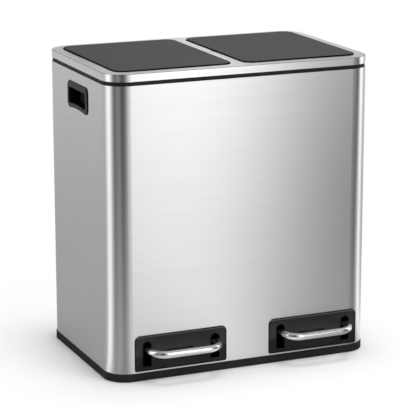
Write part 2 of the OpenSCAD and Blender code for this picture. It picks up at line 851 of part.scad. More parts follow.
module rod_guides() {
    w = channel_w - 2 * channel_t;
    y0 = channel_front + channel_t;
    color("whitesmoke")
        for (side = SIDES, z = [channel_z + guide_lift, channel_top - guide_lift - guide_h])
            difference() {
                translate([pedal_at(side) - w / 2, y0, z]) cube([w, guide_d, guide_h]);
                translate([pedal_at(side), rod_y, z - overrun])
                    cylinder(r = rod_r + pin_gap, h = guide_h + 2 * overrun);
            }
}

module lid_panel(side) {
    color([0.3, 0.3, 0.3])
        translate([side * opening_x, 0, panel_z])
            soft_block(panel_w, panel_d, even(panel_r), panel_t, panel_edge_r);
}

// The liner is the moulded underside of a lid, with its two goosenecks and the drive arm
module lid_liner(side) {
    color([0.12, 0.12, 0.12])
        difference() {
            union() {
                translate([side * opening_x, liner_y, liner_z])
                    difference() {
                        linear_extrude(liner_h) outline(liner_w, liner_d, even(liner_r));
                        difference() {
                            translate([0, 0, -overrun])
                                linear_extrude(liner_h - liner_t + overrun)
                                    outline(liner_w - 2 * liner_t, liner_d - 2 * liner_t,
                                        even(liner_r - liner_t));
                            for (x = [-hinge_span / 2, 0, hinge_span / 2])
                                translate([x - rib_t / 2, -liner_d / 2, liner_h / 3])
                                    cube([rib_t, liner_d, liner_h]);
                            for (y = [-liner_d / 4, liner_d / 4])
                                translate([-liner_w / 2, y - rib_t / 2, liner_h / 3])
                                    cube([liner_w, rib_t, liner_h]);
                        }
                    }
                for (end = SIDES)
                    translate([side * opening_x + end * hinge_span / 2, hinge_y, hinge_z])
                        side_plate(neck_t) gooseneck_outline();
                translate([pedal_at(side), hinge_y, hinge_z]) side_plate(neck_t) drive_arm_outline();
            }
            for (end = SIDES)
                translate([side * opening_x + end * hinge_span / 2, hinge_y, hinge_z])
                    cross_rod(pin_r + pin_gap, neck_t + overrun);
            translate([pedal_at(side), drive_y, drive_z]) cross_rod(drive_r + press_gap, neck_t + overrun);
        }
}

// Part of a ring round the hinge axis, from one angle to another, measured upwards from the front
module neck_arc(r_in, r_out, from, to) {
    far = 2 * r_out;
    intersection() {
        difference() {
            circle(r = r_out);
            circle(r = r_in);
        }
        polygon([
            [0, 0],
            [-far * cos(from), far * sin(from)],
            [-far * cos((from + to) / 2), far * sin((from + to) / 2)],
            [-far * cos(to), far * sin(to)]
        ]);
    }
}

// Root of an arm in the liner: it fills the corner under the panel
module neck_root() {
    translate([-neck_out, 0]) square([neck_band, panel_z - hinge_z]);
}

// Hook that leaves the liner, passes under the rim's edge and comes back to the pin
module gooseneck_outline() {
    neck_arc(neck_in, neck_out, 0, neck_foot_angle);
    neck_root();
    circle(r = eye_r);
    rotate(-neck_foot_angle)
        translate([-neck_out + neck_band / 4, -neck_band / 2]) square([neck_out - neck_band / 4, neck_band]);
}

module drive_arm_outline() {
    neck_arc(neck_in, neck_out, 0, -crank_angle);
    neck_root();
    translate([drive_y - hinge_y, drive_z - hinge_z]) circle(r = drive_boss_r);
}

module drive_pin(side) {
    color("gainsboro") translate([pedal_at(side), drive_y, drive_z]) cross_rod(drive_r, head_w);
}

// The pedal's rod: a bar, two bends and two legs that run back through the bezel's slots
module pedal_bar(side) {
    bend_y = bend_r - pedal_reach;
    color("gainsboro")
        pedal_place(side) {
            translate([0, -pedal_reach, 0]) cross_rod(pedal_r, leg_span - 2 * bend_r);
            for (end = SIDES) {
                translate([end * (leg_span / 2 - bend_r), bend_y, 0])
                    rotate([0, 0, end > 0 ? -90 : 180])
                        rotate_extrude(angle = 90) translate([bend_r, 0]) circle(r = pedal_r);
                translate([end * leg_span / 2, bend_y, 0])
                    rotate([-90, 0, 0]) cylinder(r = pedal_r, h = leg_end + half_d - bend_y);
            }
        }
}

// Where a pedal's legs pass the body's front face, sloping down towards the front
module pedal_place(side) {
    translate([pedal_at(side), -half_d, pedal_z]) rotate([pedal_tilt, 0, 0]) children();
}

// Pressed channel from the yoke to the nose under the push rod, with the yoke that holds the legs
module pedal_lever(side) {
    yoke_y = yoke_front + half_d;
    color("darkgray")
        difference() {
            union() {
                translate([pedal_at(side), 0, 0]) {
                    difference() {
                        side_plate(lever_w) lever_outline(0);
                        side_plate(lever_w - 2 * lever_t) translate([0, -lever_t]) lever_outline(lever_t);
                    }
                    translate([0, rod_y, nose_z]) cross_rod(nose_r, lever_w);
                }
                pedal_place(side) {
                    yoke_tubes(yoke_y, pedal_r + yoke_wall, yoke_d);
                    translate([-leg_span / 2, yoke_y, -pedal_r - yoke_wall])
                        cube([leg_span, yoke_d, 2 * yoke_wall + lever_t]);
                }
            }
            pedal_place(side) yoke_tubes(yoke_y - overrun, pedal_r + press_gap, yoke_d + 2 * overrun);
            translate([pedal_at(side), fulcrum_y, fulcrum_z])
                cross_rod(fulcrum_r + pin_gap, lever_w + overrun);
        }
}

// A round bar along each leg of the pedal
module yoke_tubes(y, r, length) {
    for (end = SIDES) translate([end * leg_span / 2, y, 0]) rotate([-90, 0, 0]) cylinder(r = r, h = length);
}

// Side of the lever, in the YZ plane, carried past its ends by a reach
module lever_outline(reach) {
    polygon([
        [yoke_front + lever_t - reach, yoke_z],
        [yoke_front + lever_t - reach, yoke_z + lever_h],
        [fulcrum_y, fulcrum_z + lever_h / 2],
        [rod_y, nose_z],
        [rod_y, nose_z - nose_r - reach],
        [fulcrum_y, fulcrum_z - lever_h / 2 - reach]
    ]);
}

module push_rod(side) {
    color("gainsboro")
        translate([pedal_at(side), rod_y, tail_z + tail_h / 2])
            cylinder(r = rod_r, h = head_z + head_h / 2 - tail_z - tail_h / 2);
}

// Fork that carries the drive pin on its two flat tops, on each side of the drive arm
module rod_head(side) {
    color("whitesmoke")
        translate([pedal_at(side), rod_y, head_z])
            difference() {
                translate([-head_w / 2, -head_d / 2, 0]) cube([head_w, head_d, head_h]);
                translate([-fork_w / 2, -head_d, head_h - fork_depth]) cube([fork_w, 2 * head_d, head_h]);
                translate([0, 0, -overrun]) cylinder(r = rod_r + press_gap, h = head_h / 2 + overrun);
            }
}

// Block on the rod's lower end that rides on the lever's nose
module rod_foot(side) {
    color("whitesmoke")
        translate([pedal_at(side), rod_y, tail_z])
            difference() {
                translate([-head_w / 2, -head_d / 2, 0]) cube([head_w, head_d, tail_h]);
                translate([0, 0, tail_h / 2]) cylinder(r = rod_r + press_gap, h = tail_h);
            }
}

body_shell();
base_tray();
foot_pads();
top_collar();
bucket_deck();
lid_rim();
pedal_bezel(LEFT);  // left_pedal_bezel
pedal_bezel(RIGHT);  // right_pedal_bezel
carry_handle(LEFT);  // left_carry_handle
carry_handle(RIGHT);  // right_carry_handle
bucket(LEFT);  // left_bucket
bucket(RIGHT);  // right_bucket
fulcrum_bracket(LEFT);  // left_fulcrum_bracket
fulcrum_bracket(RIGHT);  // right_fulcrum_bracket
fulcrum_pins();
bracket_screws();
pedal_bumpers();
lid_hinge_pins();
lid_bumpers();
rod_channel(LEFT);  // left_rod_channel
rod_channel(RIGHT);  // right_rod_channel
rod_guides();
lid_panel(LEFT);  // left_lid_panel
lid_liner(LEFT);  // left_lid_liner
drive_pin(LEFT);  // left_drive_pin
lid_panel(RIGHT);  // right_lid_panel
lid_liner(RIGHT);  // right_lid_liner
drive_pin(RIGHT);  // right_drive_pin
pedal_bar(LEFT);  // left_pedal_bar
pedal_lever(LEFT);  // left_pedal_lever
pedal_bar(RIGHT);  // right_pedal_bar
pedal_lever(RIGHT);  // right_pedal_lever
push_rod(LEFT);  // left_push_rod
rod_head(LEFT);  // left_rod_head
rod_foot(LEFT);  // left_rod_foot
push_rod(RIGHT);  // right_push_rod
rod_head(RIGHT);  // right_rod_head
rod_foot(RIGHT);  // right_rod_foot
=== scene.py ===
"""Dresses the double recycling bin and sets it in a pale studio.

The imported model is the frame. Its solids keep their places and get finishes made of shader
nodes; the pieces that the photograph shows in more detail are built here and ride on the same
bodies. The studio is a white floor, soft lamps and a ring of reflection cards that only gloss
can see, which gives the brushed steel its stripes.
"""

from __future__ import annotations

import logging
import math
from dataclasses import dataclass, field
from enum import Enum
from typing import Protocol, Sequence

import bmesh
import bpy
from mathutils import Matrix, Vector

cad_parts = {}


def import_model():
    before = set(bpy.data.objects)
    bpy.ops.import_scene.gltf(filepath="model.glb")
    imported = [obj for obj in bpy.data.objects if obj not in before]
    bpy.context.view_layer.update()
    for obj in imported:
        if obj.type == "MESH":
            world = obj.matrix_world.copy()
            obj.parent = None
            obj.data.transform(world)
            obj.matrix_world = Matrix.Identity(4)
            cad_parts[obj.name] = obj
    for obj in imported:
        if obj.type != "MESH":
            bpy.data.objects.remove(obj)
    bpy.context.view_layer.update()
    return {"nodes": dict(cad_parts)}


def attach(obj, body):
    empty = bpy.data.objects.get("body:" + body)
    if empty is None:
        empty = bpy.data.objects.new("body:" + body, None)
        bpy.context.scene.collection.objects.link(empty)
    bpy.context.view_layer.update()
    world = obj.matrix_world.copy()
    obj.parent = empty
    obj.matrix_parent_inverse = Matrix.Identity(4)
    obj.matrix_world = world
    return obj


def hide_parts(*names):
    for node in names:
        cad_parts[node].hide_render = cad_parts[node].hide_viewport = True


LOG = logging.getLogger("double_bin")
MM = 0.001
CASING = "casing"


class Side(Enum):
    """The two halves of the bin, as seen from the front."""

    LEFT = "left"
    RIGHT = "right"

    def named(self, part: str) -> str:
        """The name of this half's part."""
        return f"{self.value}_{part}"


class Face(Enum):
    """The axis that a moulding's textured face looks along; its other walls are left smooth and
    get a near-black painted shade.
    """

    ALL = -1
    SIDE = 0
    FRONT = 1
    TOP = 2


class Slot(Enum):
    """The record's material slots."""

    STEEL = "steel"
    BLACK = "black_plastic"
    RUBBER = "rubber"
    BUCKET = "bucket_plastic"
    ZINC = "zinc_steel"
    PAINT = "black_steel"
    PIN = "pin_steel"
    WHITE = "white_plastic"
    LID = "lid_grey"
    CHROME = "chrome"


# Node wiring


class Wiring:
    """Adds nodes to one node tree and joins them."""

    def __init__(self, tree: bpy.types.NodeTree) -> None:
        """Keeps the tree and empties it."""
        self.tree = tree
        tree.nodes.clear()

    def add(self, kind: str, **settings: object) -> bpy.types.Node:
        """Adds one node.

        Args:
            kind: The node's type, without its ShaderNode prefix.
            **settings: Properties of the node, and values of its inputs by their number
                with an i in front, such as i1=0.5.

        Returns:
            The new node.
        """
        node = self.tree.nodes.new(kind if kind.startswith("Node") else "ShaderNode" + kind)
        for name, value in settings.items():
            if name[0] == "i" and name[1:].isdigit():
                node.inputs[int(name[1:])].default_value = value
            else:
                setattr(node, name, value)
        return node

    def join(self, source: bpy.types.NodeSocket, target: bpy.types.NodeSocket) -> None:
        """Links an output to an input."""
        self.tree.links.new(source, target)

    def feed(self, value: object, socket: bpy.types.NodeSocket) -> None:
        """Feeds an input from an output, or sets it to a number, vector or colour."""
        if isinstance(value, bpy.types.NodeSocket):
            self.join(value, socket)
        else:
            socket.default_value = value

    def math(self, operation: str, first: object, second: object = 0.0) -> bpy.types.NodeSocket:
        """Adds a Math node on two outputs or numbers and returns its output."""
        node = self.add("Math", operation=operation)
        self.feed(first, node.inputs[0])
        self.feed(second, node.inputs[1])
        return node.outputs[0]

    def vector(self, operation: str, first: bpy.types.NodeSocket,
               second: object = (0.0, 0.0, 0.0)) -> bpy.types.NodeSocket:
        """Adds a Vector Math node on an output and a second one or a fixed vector.

        Args:
            operation: The node's operation.
            first: The first vector's output.
            second: The second vector's output, or its three numbers.

        Returns:
            The result, a number for LENGTH and a vector for the others.
        """
        node = self.add("VectorMath", operation=operation)
        self.join(first, node.inputs[0])
        self.feed(second, node.inputs[1])
        return node.outputs["Value" if operation == "LENGTH" else "Vector"]

    def parts(self, vector: bpy.types.NodeSocket) -> list[bpy.types.NodeSocket]:
        """Splits a vector and returns its X, Y and Z outputs."""
        node = self.add("SeparateXYZ")
        self.join(vector, node.inputs[0])
        return list(node.outputs)

    def mix(self, share: object, first: object, second: object) -> bpy.types.NodeSocket:
        """Mixes two outputs or numbers by a share, 0 for the first, and returns the result."""
        node = self.add("Mix", data_type="FLOAT")
        for number, value in zip((0, 2, 3), (share, first, second)):
            self.feed(value, node.inputs[number])
        return node.outputs[0]

    def mix_colours(self, share: object, first: object, second: object,
                    blend: str = "MIX") -> bpy.types.NodeSocket:
        """Mixes two colours.

        Args:
            share: The second colour's share, an output or a number.
            first: The first colour, an output or a linear colour.
            second: The second colour, likewise.
            blend: The node's blend type.

        Returns:
            The mixed colour.
        """
        node = self.add("Mix", data_type="RGBA", blend_type=blend)
        for number, value in zip((0, 6, 7), (share, first, second)):
            self.feed((*value, 1.0) if isinstance(value, tuple) else value, node.inputs[number])
        return node.outputs[2]

    def blend(self, share: bpy.types.NodeSocket, first: bpy.types.Node,
              second: bpy.types.Node, kind: str) -> None:
        """Mixes two shaders by a share and puts them out.

        Args:
            share: The second shader's share.
            first: The first shader's node.
            second: The second one's.
            kind: The output node's type, without its ShaderNode prefix.
        """
        mix = self.add("MixShader")
        self.join(share, mix.inputs[0])
        self.join(first.outputs[0], mix.inputs[1])
        self.join(second.outputs[0], mix.inputs[2])
        self.join(mix.outputs[0], self.add(kind).inputs[0])

    def noise(self, vector: bpy.types.NodeSocket, scale: float, detail: float = 2.0,
              roughness: float = 0.5) -> bpy.types.NodeSocket:
        """Adds a Noise texture on a vector and returns its value."""
        node = self.add("TexNoise", noise_dimensions="3D")
        node.inputs["Scale"].default_value = scale
        node.inputs["Detail"].default_value = detail
        node.inputs["Roughness"].default_value = roughness
        self.join(vector, node.inputs["Vector"])
        return node.outputs["Fac"]

    def spread(self, value: bpy.types.NodeSocket, low: float, high: float, start: float = 0.0,
               end: float = 1.0) -> bpy.types.NodeSocket:
        """Maps a value from low..high to start..end, clamped, and returns it."""
        node = self.add("MapRange", clamp=True, i1=low, i2=high, i3=start, i4=end)
        self.join(value, node.inputs[0])
        return node.outputs[0]

    def scaled(self, vector: bpy.types.NodeSocket,
               scale: Sequence[float]) -> bpy.types.NodeSocket:
        """Stretches a vector by three factors and returns it."""
        node = self.add("Mapping")
        node.inputs["Scale"].default_value = scale
        self.join(vector, node.inputs["Vector"])
        return node.outputs[0]


@dataclass
class Effects:
    """The node groups that several finishes share, each built once."""

    groups: dict[str, bpy.types.NodeTree] = field(default_factory=dict)

    def _start(self, name: str, inputs: Sequence[tuple[str, str, float]],
               outputs: Sequence[str]) -> tuple[Wiring, bpy.types.Node, bpy.types.Node]:
        """Makes an empty group with its named sockets.

        Args:
            name: The group's name.
            inputs: Name, socket type and value of each input.
            outputs: Names of the value outputs.

        Returns:
            The wiring, the group's input node and its output node.
        """
        tree = bpy.data.node_groups.new(name, "ShaderNodeTree")
        wiring = Wiring(tree)
        for label, kind, value in inputs:
            socket = tree.interface.new_socket(label, in_out="INPUT",
                                               socket_type="NodeSocket" + kind)
            if kind == "Float":
                socket.default_value = value
        for label in outputs:
            tree.interface.new_socket(label, in_out="OUTPUT", socket_type="NodeSocketFloat")
        self.groups[name] = tree
        return wiring, wiring.add("NodeGroupInput"), wiring.add("NodeGroupOutput")

    def grain(self) -> bpy.types.NodeTree:
        """Brushing lines: long streaks along the surface, level on walls, along X on top."""
        if "grain" in self.groups:
            return self.groups["grain"]
        wiring, given, out = self._start(
            "grain", [("Vector", "Vector", 0), ("Lines", "Float", 900.0),
                      ("Length", "Float", 7.0)], ["Fine", "Broad"])
        upward = wiring.parts(wiring.add("TexCoord").outputs["Normal"])[2]
        top = wiring.spread(wiring.math("ABSOLUTE", upward), 0.6, 0.8)
        values = []
        for lines, length in ((1.0, 1.0), (0.16, 0.35)):
            across = wiring.math("MULTIPLY", given.outputs["Lines"], lines)
            along = wiring.math("MULTIPLY", given.outputs["Length"], length)
            looks = []
            for order in ((along, along, across), (along, across, across)):
                scale = wiring.add("CombineXYZ")
                for socket, value in zip(scale.inputs, order):
                    wiring.join(value, socket)
                stretched = wiring.vector("MULTIPLY", given.outputs["Vector"], scale.outputs[0])
                looks.append(wiring.noise(stretched, 1.0, 3.0, 0.6))
            values.append(wiring.mix(top, *looks))
        wiring.join(values[0], out.inputs["Fine"])
        wiring.join(values[1], out.inputs["Broad"])
        return self.groups["grain"]

    def smudge(self) -> bpy.types.NodeTree:
        """Cloudy marks left by hands and cloths, as one soft mask."""
        if "smudge" in self.groups:
            return self.groups["smudge"]
        wiring, given, out = self._start(
            "smudge", [("Vector", "Vector", 0), ("Amount", "Float", 0.5)], ["Mask"])
        clouds = wiring.noise(given.outputs["Vector"], 9.0, 4.0, 0.55)
        wisps = wiring.noise(wiring.scaled(given.outputs["Vector"], (30, 30, 12)), 1.0, 3.0, 0.6)
        mask = wiring.math("MULTIPLY", wiring.spread(clouds, 0.45, 0.75),
                           wiring.spread(wisps, 0.35, 0.7))
        wiring.join(wiring.math("MULTIPLY", mask, given.outputs["Amount"]), out.inputs["Mask"])
        return self.groups["smudge"]

    def pebble(self) -> bpy.types.NodeTree:
        """The fine spark-eroded texture of moulded plastic, as a height and a mottle."""
        if "pebble" in self.groups:
            return self.groups["pebble"]
        wiring, given, out = self._start(
            "pebble", [("Vector", "Vector", 0), ("Scale", "Float", 1400.0)],
            ["Height", "Mottle"])
        cells = wiring.add("TexVoronoi", feature="SMOOTH_F1")
        wiring.join(given.outputs["Vector"], cells.inputs["Vector"])
        wiring.join(given.outputs["Scale"], cells.inputs["Scale"])
        wiring.join(cells.outputs["Distance"], out.inputs["Height"])
        wiring.join(wiring.noise(given.outputs["Vector"], 60.0, 3.0), out.inputs["Mottle"])
        return self.groups["pebble"]

    def scuff(self) -> bpy.types.NodeTree:
        """Wear near one height: scratches and rubbed paint between Low and High."""
        if "scuff" in self.groups:
            return self.groups["scuff"]
        wiring, given, out = self._start(
            "scuff", [("Vector", "Vector", 0), ("Low", "Float", 0.0), ("High", "Float", 0.02),
                      ("Amount", "Float", 0.5)], ["Mask"])
        level = wiring.add("MapRange", clamp=True, i3=1.0, i4=0.0)
        wiring.join(wiring.parts(given.outputs["Vector"])[2], level.inputs[0])
        wiring.join(given.outputs["Low"], level.inputs[1])
        wiring.join(given.outputs["High"], level.inputs[2])
        marks = wiring.spread(wiring.noise(
            wiring.scaled(given.outputs["Vector"], (120, 120, 500)), 1.0, 5.0, 0.7), 0.5, 0.8)
        mask = wiring.math("MULTIPLY", level.outputs[0], marks)
        wiring.join(wiring.math("MULTIPLY", mask, given.outputs["Amount"]), out.inputs["Mask"])
        return self.groups["scuff"]


@dataclass
class Coat:
    """One material being made: its wiring, its Principled shader and its coordinates."""

    name: str
    effects: Effects

    def __post_init__(self) -> None:
        """Starts the material with a Principled shader on Object coordinates."""
        self.material = bpy.data.materials.new(self.name)
        self.material.use_nodes = True
        self.wiring = Wiring(self.material.node_tree)
        self.shader = self.wiring.add("BsdfPrincipled")
        out = self.wiring.add("OutputMaterial")
        self.wiring.join(self.shader.outputs[0], out.inputs[0])
        self.place = self.wiring.add("TexCoord").outputs["Object"]

    def fix(self, **values: object) -> None:
        """Sets constant values on the shader's own sockets, by name with _ for a space."""
        for name, value in values.items():
            self.shader.inputs[name.replace("_", " ")].default_value = value

    def effect(self, group: bpy.types.NodeTree, **values: float) -> bpy.types.Node:
        """Places a shared effect on this material's coordinates with its own values."""
        node = self.wiring.add("Group")
        node.node_tree = group
        self.wiring.join(self.place, node.inputs["Vector"])
        for name, value in values.items():
            node.inputs[name].default_value = value
        return node

    def feed(self, socket: str, value: bpy.types.NodeSocket) -> None:
        """Feeds one of the shader's sockets."""
        self.wiring.join(value, self.shader.inputs[socket])

    def facing(self, face: Face, low: float, high: float) -> bpy.types.NodeSocket:
        """Masks the surface that looks along one axis.

        Args:
            face: The axis.
            low: Share of the normal along it where the mask starts.
            high: Share where the mask is full.

        Returns:
            The mask, 0 to 1.
        """
        share = self.wiring.math("ABSOLUTE", self.normal()[face.value])
        return self.wiring.spread(share, low, high)

    def normal(self) -> list[bpy.types.NodeSocket]:
        """The X, Y and Z outputs of the surface's normal, which turns with the piece."""
        return self.wiring.parts(self.wiring.add("TexCoord").outputs["Normal"])

    def bump(self, height: bpy.types.NodeSocket, distance: float, strength: float) -> None:
        """Feeds the normal from a height, whose full range stands for a distance in metres."""
        node = self.wiring.add("Bump")
        node.inputs["Strength"].default_value = strength
        node.inputs["Distance"].default_value = distance
        self.wiring.join(height, node.inputs["Height"])
        self.feed("Normal", node.outputs[0])


# Finishes


class Finish(Protocol):
    """A finish that can make its material."""

    name: str

    def make(self, effects: Effects) -> bpy.types.Material:
        """Makes the material."""


@dataclass(frozen=True)
class BrushedSteel:
    """Stainless sheet with level brushing lines, which draw reflections out upwards."""

    name: str = "brushed_steel"
    light: tuple[float, float, float] = (0.79, 0.789, 0.785)
    dark: tuple[float, float, float] = (0.73, 0.729, 0.725)
    # The colour of the painted shade along rounded folds.
    fold_shade: tuple[float, float, float] = (0.36, 0.36, 0.358)
    roughness: float = 0.34
    roughness_spread: float = 0.03
    draw: float = 0.88
    lines: float = 1100.0

    def make(self, effects: Effects) -> bpy.types.Material:
        """Makes the material."""
        coat = Coat(self.name, effects)
        coat.fix(Metallic=1.0, Anisotropic=self.draw, Anisotropic_Rotation=0.25)
        tangent = coat.wiring.add("Tangent", direction_type="RADIAL", axis="Z")
        coat.feed("Tangent", tangent.outputs[0])
        grain = coat.effect(effects.grain(), Lines=self.lines, Length=7.0)
        smudge = coat.effect(effects.smudge(), Amount=0.4)
        streaks = coat.wiring.spread(grain.outputs["Broad"], 0.2, 0.8)
        fine = coat.wiring.spread(grain.outputs["Fine"], 0.25, 0.75)
        both = coat.wiring.math("MULTIPLY", coat.wiring.math("ADD", streaks, fine), 0.5)
        # Painted shade: the rounded fold between top and walls, picked by its normal, takes a
        # darker colour.
        fold_shade = coat.wiring.math("SUBTRACT", coat.facing(Face.TOP, 0.1, 0.35),
                                coat.facing(Face.TOP, 0.8, 0.97))
        sheet = coat.wiring.mix_colours(both, self.dark, self.light)
        coat.feed("Base Color", coat.wiring.mix_colours(fold_shade, sheet, self.fold_shade))
        rough = coat.wiring.spread(both, 0.0, 1.0, self.roughness + self.roughness_spread,
                                   self.roughness - self.roughness_spread)
        coat.feed("Roughness", coat.wiring.math(
            "ADD", rough, coat.wiring.math("MULTIPLY", smudge.outputs[0], 0.05)))
        coat.bump(fine, 0.02 * MM, 0.25)
        return coat.material


@dataclass(frozen=True)
class DishShading:
    """Painted light on a dished face, by height in metres: painted shade towards the foot, under
    the bar, and towards the head, leaving the middle lightest, and a painted highlight along the
    top lip.
    """

    foot: tuple[float, float] = (0.042, 0.05)
    head: tuple[float, float] = (0.058, 0.078)
    low: float = 0.38
    high: float = 0.66
    lip: tuple[float, float] = (0.079, 0.0806)
    feather: float = 0.0004
    # The colour of the painted highlight along the lip.
    rubbed: tuple[float, float, float] = (0.1, 0.1, 0.1)

    def apply(self, coat: Coat, colour: bpy.types.NodeSocket) -> bpy.types.NodeSocket:
        """Paints shade and a lip highlight into a colour.

        Args:
            coat: The material being made.
            colour: The face's colour.

        Returns:
            The colour, with painted shade towards the foot and the head and a painted highlight
            along the lip.
        """
        height = coat.wiring.parts(coat.place)[2]
        # Painted shade: darker below the foot, where the bar shades the dish, and above the head.
        painted_shade_factor = coat.wiring.math("MULTIPLY", coat.wiring.spread(height, *self.foot, self.low, 1.0),
                                coat.wiring.spread(height, *self.head, 1.0, self.high))
        shaded = coat.wiring.mix_colours(1.0, colour, painted_shade_factor, "MULTIPLY")
        start, end = self.lip
        # Painted highlight: a light line along the top lip.
        line = coat.wiring.math("SUBTRACT",
                                coat.wiring.spread(height, start - self.feather, start),
                                coat.wiring.spread(height, end, end + self.feather))
        return coat.wiring.mix_colours(line, shaded, self.rubbed)


@dataclass(frozen=True)
class MouldedPlastic:
    """Moulded plastic with a fine pebbled texture and a faint mottle."""

    name: str
    dark: tuple[float, float, float]
    light: tuple[float, float, float]
    roughness: float = 0.45
    gloss: float = 0.35
    scale: float = 1400.0
    pebbled: float = 0.02 * MM
    scuffed: float = 0.0
    scuffs: tuple[float, float] = (0.001, 0.02)
    dust: tuple[float, float, float] = (0.05, 0.049, 0.047)
    face: Face = Face.ALL
    # wall is the near-black painted shade of walls that don't look along face; turn is where its
    # mask starts and is full.
    wall: tuple[float, float, float] = (0.0035, 0.0035, 0.0035)
    turn: tuple[float, float] = (0.8, 0.93)
    # Painted shade and a painted highlight, by height, on a dished face.
    dish_shading: DishShading | None = None

    def make(self, effects: Effects) -> bpy.types.Material:
        """Makes the material."""
        coat = Coat(self.name, effects)
        coat.fix(Metallic=0.0, Specular_IOR_Level=self.gloss)
        pebble = coat.effect(effects.pebble(), Scale=self.scale)
        colour = coat.wiring.mix_colours(
            coat.wiring.spread(pebble.outputs["Mottle"], 0.3, 0.7), self.dark, self.light)
        # Painted shade: walls turned away from the face's axis take the wall colour.
        if self.face is not Face.ALL:
            colour = coat.wiring.mix_colours(coat.facing(self.face, *self.turn),
                                             self.wall, colour)
        rough = coat.wiring.spread(pebble.outputs["Mottle"], 0.3, 0.7, self.roughness - 0.05,
                                   self.roughness + 0.05)
        if self.dish_shading:
            colour = self.dish_shading.apply(coat, colour)
        if self.scuffed:
            scuff = coat.effect(effects.scuff(), Low=self.scuffs[0], High=self.scuffs[1],
                                Amount=self.scuffed)
            colour = coat.wiring.mix_colours(scuff.outputs[0], colour, self.dust)
            rough = coat.wiring.math("ADD", rough, coat.wiring.math(
                "MULTIPLY", scuff.outputs[0], 0.2))
        coat.feed("Base Color", colour)
        coat.feed("Roughness", rough)
        coat.bump(pebble.outputs["Height"], self.pebbled, 0.5)
        return coat.material


@dataclass(frozen=True)
class BarePolished:
    """Chromed or plain bright metal with light handling marks.

    Where depth is given, in metres along Y, painted shade darkens the metal as it runs back
    between the two places into the slot, and painted shade darkens its top.
    """

    name: str
    light: tuple[float, float, float] = (0.88, 0.88, 0.875)
    dark: tuple[float, float, float] = (0.74, 0.74, 0.735)
    roughness: float = 0.2
    haze: float = 0.015
    marks: float = 0.06
    depth: tuple[float, float] | None = None
    # The painted shade deep in the slot, then the normal range and the painted shade of the top.
    slot_shade: float = 0.15
    top_facing: tuple[float, float] = (0.6, 1.0)
    top_shade: float = 0.5

    def make(self, effects: Effects) -> bpy.types.Material:
        """Makes the material."""
        coat = Coat(self.name, effects)
        coat.fix(Metallic=1.0)
        smudge = coat.effect(effects.smudge(), Amount=1.0)
        haze = coat.wiring.noise(coat.place, 220.0, 3.0)
        colour = coat.wiring.mix_colours(smudge.outputs[0], self.light, self.dark)
        if self.depth:
            # Painted shade: darker deeper into the slot, and darker on the upward-facing top.
            back = coat.wiring.parts(coat.place)[1]
            painted_shade_factor = coat.wiring.math(
                "MULTIPLY", coat.wiring.spread(back, *self.depth, 1.0, self.slot_shade),
                coat.wiring.spread(coat.normal()[2], *self.top_facing, 1.0, self.top_shade))
            colour = coat.wiring.mix_colours(1.0, colour, painted_shade_factor, "MULTIPLY")
        coat.feed("Base Color", colour)
        rough = coat.wiring.spread(haze, 0.3, 0.7, self.roughness - self.haze,
                                   self.roughness + self.haze)
        coat.feed("Roughness", coat.wiring.math(
            "ADD", rough, coat.wiring.math("MULTIPLY", smudge.outputs[0], self.marks)))
        coat.bump(coat.wiring.noise(coat.place, 300.0, 2.0), 0.004 * MM, 0.06)
        return coat.material


@dataclass(frozen=True)
class ZincPlate:
    """Zinc-plated pressed steel: a dull bright metal with a faint crystal mottle."""

    name: str = "zinc_plate"
    dark: tuple[float, float, float] = (0.44, 0.45, 0.46)
    light: tuple[float, float, float] = (0.60, 0.61, 0.62)

    def make(self, effects: Effects) -> bpy.types.Material:
        """Makes the material."""
        coat = Coat(self.name, effects)
        coat.fix(Metallic=1.0)
        crystals = coat.wiring.add("TexVoronoi", feature="F1")
        crystals.inputs["Scale"].default_value = 160.0
        coat.wiring.join(coat.place, crystals.inputs["Vector"])
        value = coat.wiring.add("RGBToBW")
        coat.wiring.join(crystals.outputs["Color"], value.inputs[0])
        coat.feed("Base Color", coat.wiring.mix_colours(value.outputs[0], self.dark, self.light))
        coat.feed("Roughness", coat.wiring.spread(value.outputs[0], 0.0, 1.0, 0.32, 0.46))
        coat.bump(coat.wiring.noise(coat.place, 700.0, 3.0), 0.02 * MM, 0.3)
        return coat.material


@dataclass(frozen=True)
class LidSkin:
    """The grey satin skin of the lids, with very fine lengthwise brushing and a near-black
    painted shade on its side walls.
    """

    name: str = "lid_skin"
    dark: tuple[float, float, float] = (0.037, 0.037, 0.037)
    light: tuple[float, float, float] = (0.048, 0.048, 0.048)
    # The colour of the painted shade on the side walls.
    edge: tuple[float, float, float] = (0.006, 0.006, 0.006)
    roughness: float = 0.6

    def make(self, effects: Effects) -> bpy.types.Material:
        """Makes the material."""
        coat = Coat(self.name, effects)
        coat.fix(Metallic=0.0, Specular_IOR_Level=0.05)
        grain = coat.effect(effects.grain(), Lines=1600.0, Length=20.0)
        smudge = coat.effect(effects.smudge(), Amount=0.6)
        fine = coat.wiring.spread(grain.outputs["Fine"], 0.25, 0.75)
        skin = coat.wiring.mix_colours(fine, self.dark, self.light)
        # Painted shade: side walls, picked by their normal, take the near-black edge colour.
        coat.feed("Base Color", coat.wiring.mix_colours(coat.facing(Face.TOP, 0.5, 0.9),
                                                        self.edge, skin))
        coat.feed("Roughness", coat.wiring.math("ADD", coat.wiring.spread(
            fine, 0.0, 1.0, self.roughness - 0.04, self.roughness + 0.04),
            coat.wiring.math("MULTIPLY", smudge.outputs[0], 0.08)))
        coat.bump(fine, 0.01 * MM, 0.2)
        return coat.material


